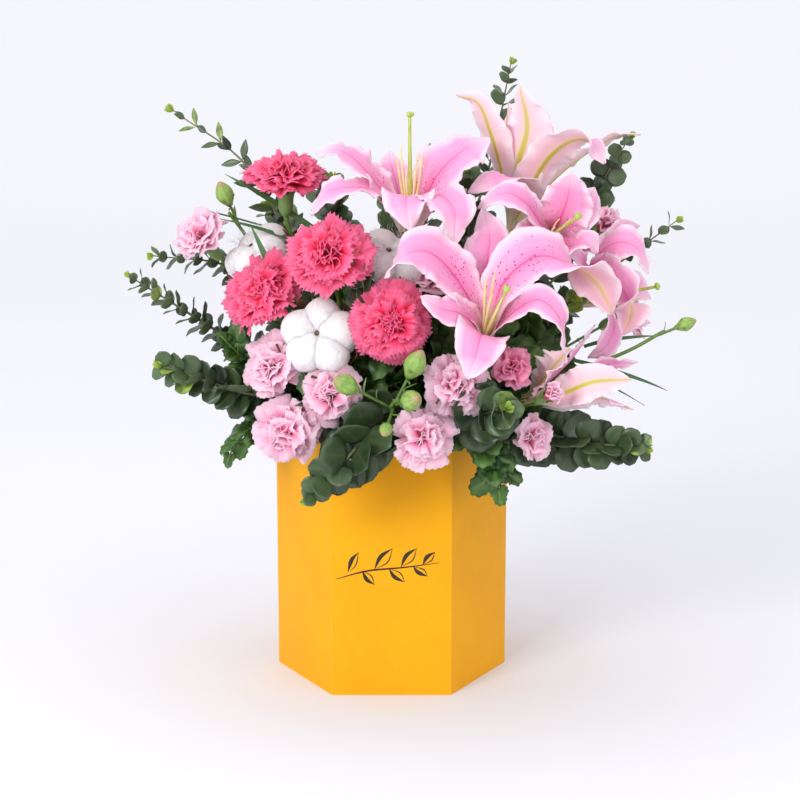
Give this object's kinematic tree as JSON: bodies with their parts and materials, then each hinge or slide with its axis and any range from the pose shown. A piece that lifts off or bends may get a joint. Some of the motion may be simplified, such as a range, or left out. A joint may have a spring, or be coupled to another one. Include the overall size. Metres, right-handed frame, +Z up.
{
  "type": "flower box",
  "caption": "Six-sided paper-covered flower box with a lift-out liner and foam insert that holds cut lilies, carnations, cotton bolls and eucalyptus.",
  "frame": {"origin": "middle of the box's underside, on the axis of the six-sided box", "axes": "+Z up; -Y out of the front side, which is flat; +X to the right, through a corner of the box"},
  "size_m": [0.4882, 0.3397, 0.5286],
  "materials": {
    "yellow_paper": "smooth covering paper, satin",
    "grey_board": "grey board",
    "liner_film": "thin waterproof plastic",
    "floral_foam": "soaked floral foam, matt",
    "lily_petal": "fresh petal, satin",
    "lily_stem": "fresh green stem",
    "carnation": "fresh ruffled petals, matt",
    "spray_carnation": "fresh ruffled petals, matt",
    "cotton": "loose cotton fibre",
    "eucalyptus": "waxy grey-green leaf",
    "green_leaf": "dark green leaf",
    "bud": "green bud"
  },
  "bodies": {
    "box": {"cover_paper": "yellow_paper", "wall_board": "grey_board", "base_board": "grey_board", "base_sheet": "yellow_paper"},
    "insert": {"liner": "liner_film", "carnation_front": "carnation", "spray_left_far": "spray_carnation", "spray_left_upper": "spray_carnation", "spray_left_inner": "spray_carnation", "spray_left_low": "spray_carnation", "spray_front_low": "spray_carnation", "spray_front_right": "spray_carnation", "spray_middle": "spray_carnation", "spray_back_top": "spray_carnation", "spray_back_right": "spray_carnation", "spray_rear_left": "spray_carnation", "spray_rear_right": "spray_carnation", "spray_right_upper": "spray_carnation", "spray_right_bud": "spray_carnation", "spray_right_low": "spray_carnation", "cotton_front": "cotton", "cotton_middle": "cotton", "cotton_left": "cotton", "eucalyptus_top_left": "eucalyptus", "eucalyptus_left": "eucalyptus", "eucalyptus_left_upper": "eucalyptus", "eucalyptus_left_low": "eucalyptus", "eucalyptus_front": "eucalyptus", "eucalyptus_right_low": "eucalyptus", "eucalyptus_right_top": "eucalyptus", "eucalyptus_top": "eucalyptus", "eucalyptus_right_far": "eucalyptus", "eucalyptus_centre_left": "eucalyptus", "eucalyptus_rear_left": "eucalyptus", "eucalyptus_rear_right": "eucalyptus", "leaf_spray_front_right": "green_leaf", "leaf_spray_left_low": "green_leaf", "leaf_spray_left": "green_leaf", "leaf_spray_right_low": "green_leaf", "leaf_spray_rear": "green_leaf", "bud_stem_front": "bud", "bud_stem_left": "bud", "bud_stem_right": "bud", "foam_lower": "floral_foam", "foam_upper": "floral_foam"},
    "lily_top_cut": {"lily_top_bloom": "lily_petal", "lily_top_stem": "lily_stem"},
    "lily_front_cut": {"lily_front_bloom": "lily_petal", "lily_front_stem": "lily_stem"},
    "lily_right_cut": {"lily_right_bloom": "lily_petal", "lily_right_stem": "lily_stem"},
    "lily_crown_cut": {"lily_crown_bloom": "lily_petal", "lily_crown_stem": "lily_stem"},
    "lily_side_cut": {"lily_side_bloom": "lily_petal", "lily_side_stem": "lily_stem"},
    "lily_half_cut": {"lily_half_bloom": "lily_petal", "lily_half_stem": "lily_stem"},
    "carnation_top_cut": {"carnation_top": "carnation"},
    "carnation_centre_cut": {"carnation_centre": "carnation"},
    "carnation_left_cut": {"carnation_left": "carnation"}
  },
  "joints": [
    {"name": "insert_lift", "type": "slide", "parent": "box", "child": "insert", "axis": [0, 0, 1], "range_m": [0, 0.22]},
    {"name": "lily_top_pull", "type": "slide", "parent": "insert", "child": "lily_top_cut", "axis": [0.047, -0.1552, 0.9868], "range_m": [0, 0.095]},
    {"name": "lily_front_pull", "type": "slide", "parent": "insert", "child": "lily_front_cut", "axis": [0.4579, -0.5247, 0.7177], "range_m": [0, 0.07]},
    {"name": "lily_right_pull", "type": "slide", "parent": "insert", "child": "lily_right_cut", "axis": [0.5259, -0.0377, 0.8497], "range_m": [0, 0.065]},
    {"name": "lily_crown_pull", "type": "slide", "parent": "insert", "child": "lily_crown_cut", "axis": [0.4241, -0.0084, 0.9056], "range_m": [0, 0.105]},
    {"name": "lily_side_pull", "type": "slide", "parent": "insert", "child": "lily_side_cut", "axis": [0.7173, -0.0461, 0.6952], "range_m": [0, 0.075]},
    {"name": "lily_half_pull", "type": "slide", "parent": "insert", "child": "lily_half_cut", "axis": [0.8201, -0.5283, 0.22], "range_m": [0, 0.04]},
    {"name": "carnation_top_pull", "type": "slide", "parent": "insert", "child": "carnation_top_cut", "axis": [-0.2802, -0.0955, 0.9552], "range_m": [0, 0.1]},
    {"name": "carnation_centre_pull", "type": "slide", "parent": "insert", "child": "carnation_centre_cut", "axis": [-0.1587, -0.4936, 0.8551], "range_m": [0, 0.055]},
    {"name": "carnation_left_pull", "type": "slide", "parent": "insert", "child": "carnation_left_cut", "axis": [-0.5167, -0.318, 0.7949], "range_m": [0, 0.06]}
  ]
}
